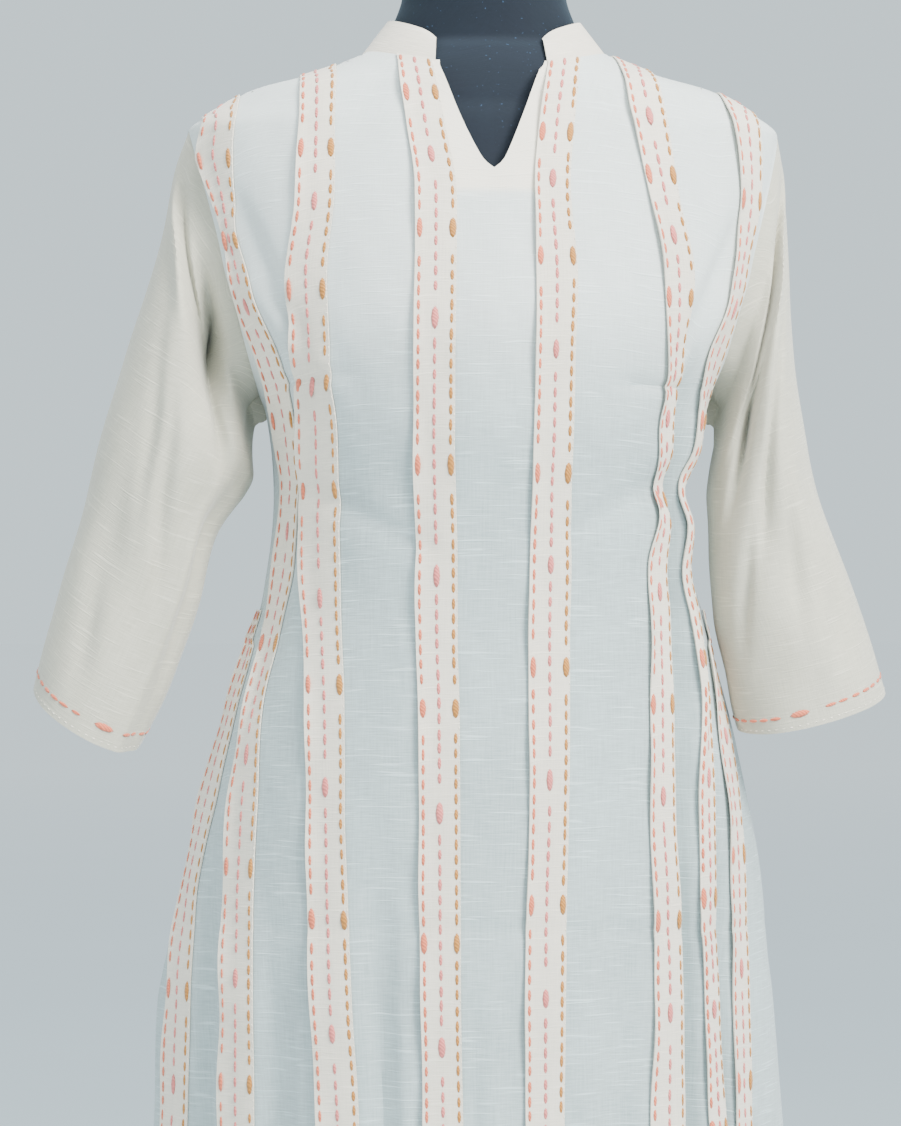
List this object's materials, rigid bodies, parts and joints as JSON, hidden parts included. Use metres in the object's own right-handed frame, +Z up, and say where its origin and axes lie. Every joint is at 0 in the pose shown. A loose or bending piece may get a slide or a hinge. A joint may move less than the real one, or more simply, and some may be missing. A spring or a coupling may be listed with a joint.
{
  "type": "kurta tunic on a dress form",
  "caption": "Long cotton kurta with a notched stand collar, three-quarter sleeves and stitched bands, on a plain limbless dress form with a round base.",
  "frame": {"origin": "middle of the stand base's underside, on the floor", "axes": "+Z up; the garment's front faces -Y; +X is the picture's right"},
  "size_m": [0.5485, 0.33, 1.466],
  "materials": {
    "sage_cotton": "matt slub cotton, slightly sheer",
    "cream_cotton": "matt plain cotton",
    "black_jersey": "matt stretch jersey over the form",
    "dark_metal": "satin"
  },
  "bodies": {
    "root": {"front": "sage_cotton", "back": "sage_cotton", "collar": "cream_cotton", "neck_facing": "cream_cotton", "sleeve_left": "cream_cotton", "sleeve_right": "cream_cotton", "band_1": "cream_cotton", "band_2": "cream_cotton", "band_3": "cream_cotton", "band_4": "cream_cotton", "band_5": "cream_cotton", "band_6": "cream_cotton", "band_7": "cream_cotton", "band_8": "cream_cotton", "form_torso": "black_jersey", "form_pole": "dark_metal", "form_base": "dark_metal"}
  },
  "joints": []
}
